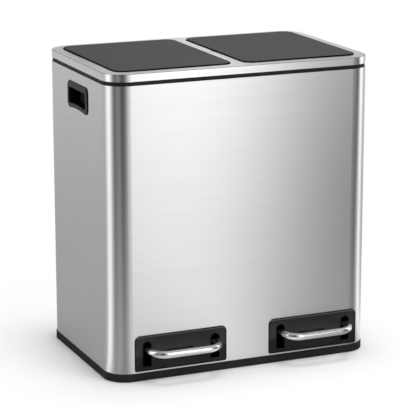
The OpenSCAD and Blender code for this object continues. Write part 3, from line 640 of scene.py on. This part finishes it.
BLACK_DARK = (0.02, 0.02, 0.02)
BLACK_LIGHT = (0.025, 0.025, 0.025)
FINISHES = {
    Slot.STEEL: BrushedSteel(),
    Slot.BLACK: MouldedPlastic("black_plastic", BLACK_DARK, BLACK_LIGHT, roughness=0.6,
                               gloss=0.08, scuffed=0.2),
    Slot.RUBBER: MouldedPlastic("black_rubber", (0.012, 0.012, 0.012), (0.02, 0.02, 0.02), 0.75,
                                0.25, 900.0),
    Slot.BUCKET: MouldedPlastic("bucket_plastic", (0.05, 0.051, 0.053), (0.065, 0.066, 0.068),
                                0.5, 0.4, 1000.0),
    Slot.ZINC: ZincPlate(),
    Slot.PAINT: MouldedPlastic("stoved_black", (0.006, 0.006, 0.006), (0.009, 0.009, 0.009), 0.35,
                               0.5, 500.0),
    Slot.PIN: BarePolished("pin_steel", (0.62, 0.62, 0.61), (0.5, 0.5, 0.49), 0.28),
    Slot.WHITE: MouldedPlastic("white_nylon", (0.72, 0.71, 0.68), (0.80, 0.79, 0.76), 0.42, 0.45,
                               700.0),
    Slot.LID: LidSkin(),
    Slot.CHROME: BarePolished("chrome_bar", depth=(-0.184, -0.16)),
}

NODE_SLOTS = {
    Slot.STEEL: ("body_shell", "lid_rim"),
    Slot.BLACK: ("base_tray", "top_collar", "bucket_deck", "left_pedal_bezel",
                 "right_pedal_bezel", "left_carry_handle", "right_carry_handle",
                 "left_lid_liner", "right_lid_liner"),
    Slot.RUBBER: ("foot_pads", "pedal_bumpers", "lid_bumpers"),
    Slot.BUCKET: ("left_bucket", "right_bucket"),
    Slot.ZINC: ("left_fulcrum_bracket", "right_fulcrum_bracket", "left_rod_channel",
                "right_rod_channel", "left_push_rod", "right_push_rod"),
    Slot.PAINT: ("left_pedal_lever", "right_pedal_lever"),
    Slot.PIN: ("fulcrum_pins", "bracket_screws", "lid_hinge_pins", "left_drive_pin",
               "right_drive_pin"),
    Slot.WHITE: ("rod_guides", "left_rod_head", "right_rod_head", "left_rod_foot",
                 "right_rod_foot"),
    Slot.LID: ("left_lid_panel", "right_lid_panel"),
    Slot.CHROME: ("left_pedal_bar", "right_pedal_bar"),
}


# The bezels and grips get painted shade on their walls away from the face; the bezels also get
# painted shade and a lip highlight by height.
BEZEL = MouldedPlastic("bezel_plastic", (0.034, 0.034, 0.034), (0.04, 0.04, 0.04), gloss=0.16,
                       face=Face.FRONT, dish_shading=DishShading())
GRIP = MouldedPlastic("grip_plastic", (0.021, 0.021, 0.021), (0.026, 0.026, 0.026), gloss=0.25,
                      face=Face.SIDE)
# Painted shadow: a near-black band along the outlines of the bezels and grips, for the shadow in
# the gap around them.
SHADOW_LINE = MouldedPlastic("painted_shadow_line", (0.002, 0.002, 0.002), (0.003, 0.003, 0.003), 0.7, 0.05)
NODE_FINISHES = {
    "left_pedal_bezel": BEZEL,
    "right_pedal_bezel": BEZEL,
    "left_carry_handle": GRIP,
    "right_carry_handle": GRIP,
    "top_collar": MouldedPlastic("band_plastic", (0.015, 0.015, 0.015), (0.019, 0.019, 0.019),
                                 gloss=0.12),
    # Painted light: the rim wears a lighter copy of the brushed steel, for the light it catches.
    "lid_rim": BrushedSteel("brushed_rim_lit", (0.83, 0.829, 0.825), (0.77, 0.769, 0.765)),
}


# Studio


@dataclass(frozen=True)
class Lamp:
    """A square lamp for the plastics and the floor, which gloss and the camera don't see."""

    name: str
    place: tuple[float, float, float]
    size: float
    power: float
    aim: tuple[float, float, float] = (0.0, 0.0, 0.25)

    def build(self) -> None:
        """Hangs the lamp and turns it to its aim."""
        light = bpy.data.lights.new(self.name, "AREA")
        light.size, light.energy = self.size, self.power
        lamp = bpy.data.objects.new(self.name, light)
        lamp.location = self.place
        aim = Vector(self.aim) - Vector(self.place)
        lamp.rotation_euler = aim.to_track_quat("-Z", "Y").to_euler()
        lamp.visible_glossy = lamp.visible_camera = False
        bpy.context.scene.collection.objects.link(lamp)


Cards = tuple[tuple[float, float], ...]


@dataclass
class Studio:
    """Floor, lamps, reflection cards and the camera; none of it belongs to the bin.

    The cards line a closed drum. Each set of them gives a brightness by azimuth in degrees,
    from -180 at the back by the left, the front at 0 and the right back to 180.
    """

    lamps: tuple[Lamp, ...] = (Lamp("key_box", (1.4, -2.0, 2.6), 1.6, 39.0),
                               Lamp("top_box", (0.1, 0.1, 3.0), 1.4, 61.0))
    air: float = 0.5
    floor_half: float = 14.0
    floor_white: float = 0.82
    footprint: tuple[float, float, float] = (0.25, 0.162, 0.0)
    shadow_reach: float = 0.125
    shadow_depth: float = 0.9
    drum_radius: float = 1.3
    drum_height: float = 2.6
    drum_gap: float = 0.0006
    seam: float = 0.02
    rise_height: float = 0.5
    rise: tuple[float, float] = (0.76, 1.18)
    near_reach: float = 0.6
    far_ground: float = 0.74
    shade_reach: float = 0.12
    shade: float = 0.72
    ceiling_reach: tuple[float, float] = (-0.3, 0.5)
    ceiling_glow: tuple[float, float] = (0.36, 0.66)
    corner: tuple[float, float] = (-0.21, -0.122)
    corner_blend: tuple[float, float] = (-0.25, -0.1)
    box_from: tuple[float, float] = (0.22, 0.42)
    box_to: tuple[float, float] = (0.86, 1.7)
    box_fade: float = 0.5
    look: tuple[float, float, float] = (0.001226, 0.0, 0.255019)
    azimuth: float = -23.39
    elevation: float = 14.127
    distance: float = 3.57096
    lens: float = 168.95
    cards: Cards = (
        (-180, 0.45), (-168, 0.55), (-156, 0.57), (-124, 0.57), (-110, 0.5), (-100, 0.95),
        (-91, 1.42), (-82, 1.3), (-73, 0.45), (-63, 0.03), (-50, 0.22), (-42, 0.24),
        (-34, 0.03), (-23, 0.03), (-13, 0.22), (-4, 0.64), (3, 1.0), (9, 1.28), (18, 1.34),
        (24, 0.74), (30, 0.1), (40, 0.0), (52, 0.0), (64, 0.1), (71, 0.9), (78, 1.75),
        (87, 1.1), (100, 0.6), (140, 0.5), (156, 0.76), (168, 0.4), (180, 0.45))
    ground_cards: Cards = (
        (-180, 0.4), (-150, 0.4), (-120, 0.35), (-107, 0.34), (-99, 0.85), (-91, 1.35),
        (-83, 1.15), (-73, 0.62), (-60, 0.5), (-42, 0.56), (-18, 0.6), (-6, 0.88), (4, 0.94),
        (13, 0.82), (19, 0.69), (24, 0.61), (30, 0.54), (40, 0.43), (54, 0.33), (61, 0.38),
        (68, 1.2), (76, 1.3), (88, 0.8), (110, 0.5), (180, 0.3))
    corner_cards: Cards = (
        (-180, 0.42), (-140, 0.43), (-125, 0.44), (-115, 0.62), (-106, 1.25), (-98, 1.42),
        (-88, 1.0), (-78, 0.45), (-66, 0.38), (-50, 0.58), (-40, 0.56), (-28, 0.42), (-16, 0.46),
        (-6, 0.6), (4, 0.76), (14, 0.87), (30, 0.9), (180, 0.5))
    box_cards: Cards = (
        (-180, 0.0), (8, 0.0), (23, 0.78), (32, 0.7), (44, 0.5), (56, 0.0), (180, 0.0))

    @property
    def top(self) -> float:
        """The brightness that stands for 1 on the cards."""
        return max(value for _, value in self.cards)

    def build(self) -> None:
        """Builds the whole studio."""
        self.floor()
        self.reflections()
        for lamp in self.lamps:
            lamp.build()
        self.world()
        self.camera()
        bpy.context.scene.view_settings.view_transform = "Standard"

    def floor(self) -> None:
        """A white floor that keeps the soft shadow near the bin and fades to pure white."""
        mesh = bmesh.new()
        bmesh.ops.create_grid(mesh, x_segments=1, y_segments=1, size=self.floor_half)
        floor = finished("studio_floor", mesh)
        material = bpy.data.materials.new("studio_white")
        material.use_nodes = True
        wiring = Wiring(material.node_tree)
        paint = wiring.add("BsdfDiffuse", i0=(self.floor_white,) * 3 + (1.0,))
        glow = wiring.add("Emission")
        clear = self.clearance(wiring, wiring.add("TexCoord").outputs["Object"])
        fade = wiring.math("EXPONENT", wiring.math("MULTIPLY", clear, -1.0 / self.shadow_reach))
        far = wiring.math("SUBTRACT", 1.0, wiring.math("MULTIPLY", fade, self.shadow_depth))
        seen = wiring.math("MULTIPLY", wiring.add("LightPath").outputs["Is Camera Ray"], far)
        wiring.blend(seen, paint, glow, "OutputMaterial")
        floor.data.materials.append(material)

    def clearance(self, wiring: Wiring, place: bpy.types.NodeSocket) -> bpy.types.NodeSocket:
        """Measures how far a place on the floor lies from the bin's footprint."""
        beyond = wiring.vector("SUBTRACT", wiring.vector("ABSOLUTE", place), self.footprint)
        return wiring.vector("LENGTH", wiring.vector("MAXIMUM", beyond))

    def bearing(self, wiring: Wiring, place: bpy.types.NodeSocket,
                centre: tuple[float, float] = (0.0, 0.0)) -> bpy.types.NodeSocket:
        """Turns a place into its azimuth about a centre.

        Args:
            wiring: The wiring of the cards' material.
            place: The place.
            centre: X and Y of the centre, in metres.

        Returns:
            The azimuth, from 0 at the back by the left to 1 at the back again.
        """
        across, back, _ = wiring.parts(place)
        angle = wiring.math("ARCTAN2", wiring.math("SUBTRACT", across, centre[0]),
                            wiring.math("SUBTRACT", centre[1], back))
        return wiring.spread(angle, -math.pi, math.pi)

    def reflections(self) -> None:
        """A closed drum of light and dark cards about the bin, which only gloss sees."""
        mesh = bmesh.new()
        bmesh.ops.create_cone(mesh, cap_ends=True, segments=96, radius1=self.drum_radius,
                              radius2=self.drum_radius, depth=self.drum_height)
        bmesh.ops.translate(mesh, verts=mesh.verts,
                            vec=(0, 0, self.drum_height / 2 + self.drum_gap))
        drum = finished("reflection_cards", mesh)
        material = bpy.data.materials.new("card_light")
        material.use_nodes = True
        wiring = Wiring(material.node_tree)
        place = wiring.add("TexCoord").outputs["Object"]
        glow = wiring.add("Emission")
        wiring.join(wiring.math("MULTIPLY", self.light(wiring, place), self.top),
                    glow.inputs["Strength"])
        wiring.join(glow.outputs[0], wiring.add("OutputMaterial").inputs[0])
        drum.data.materials.append(material)
        drum.visible_camera = drum.visible_diffuse = drum.visible_shadow = False
        drum.visible_transmission = drum.visible_volume_scatter = False

    def light(self, wiring: Wiring, place: bpy.types.NodeSocket) -> bpy.types.NodeSocket:
        """Joins the light of the drum's ground, walls and ceiling.

        Args:
            wiring: The wiring of the cards' material.
            place: The place on the drum.

        Returns:
            The brightness there, over top.
        """
        _, back, height = wiring.parts(place)
        turn = self.bearing(wiring, place)
        wall = self.ramp(wiring, turn, self.cards)
        raised = wiring.math("MULTIPLY", wall,
                             wiring.spread(height, 0.0, self.rise_height, *self.rise))
        walls = wiring.mix(wiring.spread(height, 0.0, self.seam),
                           self.ground(wiring, place, turn, wall),
                           wiring.math("ADD", raised, self.box(wiring, height, turn)))
        return wiring.mix(
            wiring.spread(height, self.drum_height - self.seam, self.drum_height), walls,
            wiring.spread(back, *self.ceiling_reach, *self.ceiling_glow))

    def ground(self, wiring: Wiring, place: bpy.types.NodeSocket, turn: bpy.types.NodeSocket,
               wall: bpy.types.NodeSocket) -> bpy.types.NodeSocket:
        """The light of the drum's ground, shaded beside the bin and like the wall further out.

        Args:
            wiring: The wiring of the cards' material.
            place: The place on the ground.
            turn: Its azimuth, from 0 at the back by the left to 1 at the back again.
            wall: The light of the wall at that azimuth.

        Returns:
            The light.
        """
        corner = self.ramp(wiring, self.bearing(wiring, place, self.corner), self.corner_cards)
        near = wiring.mix(wiring.spread(wiring.parts(place)[0], *self.corner_blend), corner,
                          self.ramp(wiring, turn, self.ground_cards))
        shade = wiring.spread(self.clearance(wiring, place), 0.0, self.shade_reach,
                              self.shade, 1.0)
        out = wiring.spread(wiring.vector("LENGTH", place), self.near_reach, self.drum_radius)
        return wiring.mix(out, wiring.math("MULTIPLY", near, shade),
                          wiring.math("MULTIPLY", wall, self.far_ground))

    def box(self, wiring: Wiring, height: bpy.types.NodeSocket,
            turn: bpy.types.NodeSocket) -> bpy.types.NodeSocket:
        """The light of a soft box on the wall, which draws the line along the pedals' bars.

        Args:
            wiring: The wiring of the cards' material.
            height: The height on the wall.
            turn: The azimuth, from 0 at the back by the left to 1 at the back again.

        Returns:
            The light that the box adds.
        """
        level = wiring.math("SUBTRACT", wiring.spread(height, *self.box_from),
                            wiring.spread(height, *self.box_to, 0.0, self.box_fade))
        return wiring.math("MULTIPLY", level, self.ramp(wiring, turn, self.box_cards))

    def ramp(self, wiring: Wiring, turn: bpy.types.NodeSocket,
             cards: Cards) -> bpy.types.NodeSocket:
        """Lays out cards by azimuth.

        Args:
            wiring: The wiring of the cards' material.
            turn: The azimuth, from 0 at the back by the left to 1 at the back again.
            cards: Azimuth in degrees and brightness of each stop.

        Returns:
            The brightness at each azimuth, over top.
        """
        ramp = wiring.add("ValToRGB")
        stops = ramp.color_ramp.elements
        for number, (azimuth, value) in enumerate(cards):
            at = (azimuth + 180) / 360
            if number == 0:
                stop = stops[0]
            elif number == len(cards) - 1:
                stop = stops[-1]
            else:
                stop = stops.new(at)
            stop.position = at
            stop.color = (value / self.top,) * 3 + (1.0,)
        wiring.join(turn, ramp.inputs[0])
        return ramp.outputs[0]

    def world(self) -> None:
        """A white world behind the floor, and an even fill for everything else."""
        world = bpy.data.worlds.new("studio_air")
        world.use_nodes = True
        wiring = Wiring(world.node_tree)
        fill = wiring.add("Background", i0=(1, 1, 1, 1), i1=self.air)
        white = wiring.add("Background", i0=(1, 1, 1, 1), i1=1.0)
        rays = wiring.add("LightPath")
        shown = wiring.math("MAXIMUM", rays.outputs["Is Camera Ray"],
                            wiring.math("MAXIMUM", rays.outputs["Is Glossy Ray"],
                                        rays.outputs["Is Transmission Ray"]))
        wiring.blend(shown, fill, white, "OutputWorld")
        bpy.context.scene.world = world

    def camera(self) -> None:
        """The photograph's own view."""
        data = bpy.data.cameras.new("photo_camera")
        data.sensor_width, data.lens = 36.0, self.lens
        data.clip_start, data.clip_end = 0.1, 60.0
        camera = bpy.data.objects.new("photo_camera", data)
        turn, rise = math.radians(self.azimuth), math.radians(self.elevation)
        back = Vector((math.sin(turn) * math.cos(rise), -math.cos(turn) * math.cos(rise),
                       math.sin(rise)))
        camera.location = Vector(self.look) + back * self.distance
        camera.rotation_euler = (-back).to_track_quat("-Z", "Y").to_euler()
        bpy.context.scene.collection.objects.link(camera)
        bpy.context.scene.camera = camera


# Pieces


def finished(name: str, mesh: bmesh.types.BMesh) -> bpy.types.Object:
    """Turns a bmesh into an object at the origin.

    Args:
        name: The object's name.
        mesh: The bmesh, in metres and in place; it is freed.

    Returns:
        The new object, linked to the scene.
    """
    data = bpy.data.meshes.new(name)
    mesh.to_mesh(data)
    mesh.free()
    made = bpy.data.objects.new(name, data)
    bpy.context.scene.collection.objects.link(made)
    return made


@dataclass(frozen=True)
class Outline:
    """The outline of a moulding's face, which gets a painted shadow line."""

    across: int
    top_radius: float
    foot_radius: float
    # Width of the painted shadow line.
    seam: float = 1.5 * MM

    def inset(self, place: Vector, low: Vector, high: Vector) -> float:
        """Measures how far a place lies inside the outline, seen from the face's front.

        Args:
            place: The place.
            low: The moulding's lowest corner.
            high: Its highest corner.

        Returns:
            The distance to the rounded outline, in metres.
        """
        middle = (low + high) / 2
        radius = self.top_radius if place.z > middle.z else self.foot_radius
        over = [abs(place[axis] - middle[axis]) - (high[axis] - low[axis]) / 2 + radius
                for axis in (self.across, 2)]
        return radius - math.hypot(*(max(value, 0.0) for value in over)) - min(max(over), 0.0)

    def mark(self, mesh: bmesh.types.BMesh) -> None:
        """Gives the faces along the outline the second finish, the painted shadow line."""
        low = Vector(tuple(min(vert.co[axis] for vert in mesh.verts) for axis in range(3)))
        high = Vector(tuple(max(vert.co[axis] for vert in mesh.verts) for axis in range(3)))
        for face in mesh.faces:
            if self.inset(face.calc_center_median(), low, high) < self.seam:
                face.material_index = 1


@dataclass
class EasedMoulding:
    """A moulding with the small edge radii that its tool leaves, made over its CAD solid."""

    node: str
    body: str
    slot: Slot
    outline: Outline
    ease: float = 0.45 * MM
    weld: float = 0.005 * MM
    flat: float = math.radians(0.4)
    crease: float = math.radians(55)
    rounds: float = math.radians(40)
    mirrored: bool = True

    def build(self, nodes: dict[str, bpy.types.Object]) -> bpy.types.Object:
        """Copies the solid, joins its faces and rounds its sharp edges.

        Args:
            nodes: The CAD nodes by name.

        Returns:
            The piece, which stands for its node.
        """
        mesh = bmesh.new()
        mesh.from_mesh(nodes[self.node].data)
        bmesh.ops.remove_doubles(mesh, verts=mesh.verts, dist=self.weld)
        bmesh.ops.dissolve_limit(mesh, angle_limit=self.flat, verts=mesh.verts,
                                 edges=mesh.edges)
        bmesh.ops.bevel(mesh, geom=self.sharp(mesh), offset=self.ease, offset_type="OFFSET",
                        affect="EDGES", segments=3, profile=0.5, material=-1,
                        clamp_overlap=True)
        bmesh.ops.triangulate(mesh, faces=[face for face in mesh.faces if len(face.verts) > 4])
        bmesh.ops.recalc_face_normals(mesh, faces=mesh.faces)
        self.outline.mark(mesh)
        piece = finished(self.node + "_eased", mesh)
        piece.data.shade_smooth()
        piece.data.set_sharp_from_angle(angle=self.rounds)
        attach(piece, self.body)
        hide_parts(self.node)
        piece.visible_glossy = self.mirrored
        return piece

    def sharp(self, mesh: bmesh.types.BMesh) -> list[bmesh.types.BMEdge]:
        """The edges of a mesh that the tool would leave rounded."""
        return [edge for edge in mesh.edges
                if edge.is_manifold and edge.calc_face_angle() > self.crease]

    def dress(self, piece: bpy.types.Object, finishes: Sequence[bpy.types.Material]) -> None:
        """Gives the piece its finishes: the face's and the painted shadow line's."""
        piece.data.materials.clear()
        for finish in finishes:
            piece.data.materials.append(finish)


@dataclass
class PolishedBar:
    """A pedal's bent bar, made over its CAD solid with one unbroken smooth surface."""

    side: Side
    weld: float = 0.02 * MM
    rounds: float = math.radians(40)

    def build(self, nodes: dict[str, bpy.types.Object]) -> bpy.types.Object:
        """Copies the bar, joins its faces and smooths everything but the legs' cut ends.

        Args:
            nodes: The CAD nodes by name.

        Returns:
            The piece, which stands for its node.
        """
        node = self.side.named("pedal_bar")
        mesh = bmesh.new()
        mesh.from_mesh(nodes[node].data)
        bmesh.ops.remove_doubles(mesh, verts=mesh.verts, dist=self.weld)
        bmesh.ops.recalc_face_normals(mesh, faces=mesh.faces)
        piece = finished(node + "_smooth", mesh)
        facets = piece.data.attributes.get("custom_normal")
        if facets:
            piece.data.attributes.remove(facets)
        piece.data.shade_smooth()
        piece.data.set_sharp_from_angle(angle=self.rounds)
        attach(piece, self.side.named("pedal"))
        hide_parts(node)
        return piece

    def dress(self, piece: bpy.types.Object, finish: bpy.types.Material) -> None:
        """Gives the bar its chrome."""
        piece.data.materials.clear()
        piece.data.materials.append(finish)


OUTLINES = {
    "pedal_bezel": Outline(across=0, top_radius=10 * MM, foot_radius=4 * MM),
    "carry_handle": Outline(across=1, top_radius=10 * MM, foot_radius=10 * MM),
}


@dataclass
class Wardrobe:
    """The made finishes, by name."""

    effects: Effects = field(default_factory=Effects)
    made: dict[str, bpy.types.Material] = field(default_factory=dict)

    def of(self, finish: Finish) -> bpy.types.Material:
        """The material of a finish, made when it is first asked for."""
        if finish.name not in self.made:
            self.made[finish.name] = finish.make(self.effects)
        return self.made[finish.name]

    def for_node(self, name: str) -> bpy.types.Material:
        """The material that a CAD node wears."""
        return self.of(NODE_FINISHES.get(name, FINISHES[slot_of(name)]))

    def dress(self, nodes: dict[str, bpy.types.Object]) -> None:
        """Gives every CAD node the finish of its slot."""
        for names in NODE_SLOTS.values():
            for name in names:
                node = nodes[name]
                if not node.material_slots:
                    node.data.materials.append(self.for_node(name))
                for place in node.material_slots:
                    place.material = self.for_node(name)
                LOG.info("dressed %s in %s", name, self.for_node(name).name)


def slot_of(name: str) -> Slot:
    """The material slot of a CAD node."""
    return next(slot for slot, names in NODE_SLOTS.items() if name in names)


def build_side(side: Side, nodes: dict[str, bpy.types.Object],
               wardrobe: Wardrobe) -> list[bpy.types.Object]:
    """Builds and dresses the new pieces of one half.

    Args:
        side: The half.
        nodes: The CAD nodes by name.
        wardrobe: The finishes.

    Returns:
        The pieces.
    """
    pieces = []
    for part, outline in OUTLINES.items():
        name = side.named(part)
        moulding = EasedMoulding(name, CASING, slot_of(name), outline,
                                 mirrored=part != "carry_handle")
        pieces.append(moulding.build(nodes))
        moulding.dress(pieces[-1], [wardrobe.for_node(name), wardrobe.of(SHADOW_LINE)])
    bar = PolishedBar(side)
    pieces.append(bar.build(nodes))
    bar.dress(pieces[-1], wardrobe.of(FINISHES[Slot.CHROME]))
    return pieces


def main() -> None:
    """Builds the studio and the bin in order and reports each piece."""
    logging.basicConfig(level=logging.INFO, format="%(name)s: %(message)s")
    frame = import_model()
    Studio().build()
    wardrobe = Wardrobe()
    wardrobe.dress(frame["nodes"])
    for side in Side:
        for piece in build_side(side, frame["nodes"], wardrobe):
            LOG.info("built %s, %d faces", piece.name, len(piece.data.polygons))


if __name__ == "__main__":
    main()
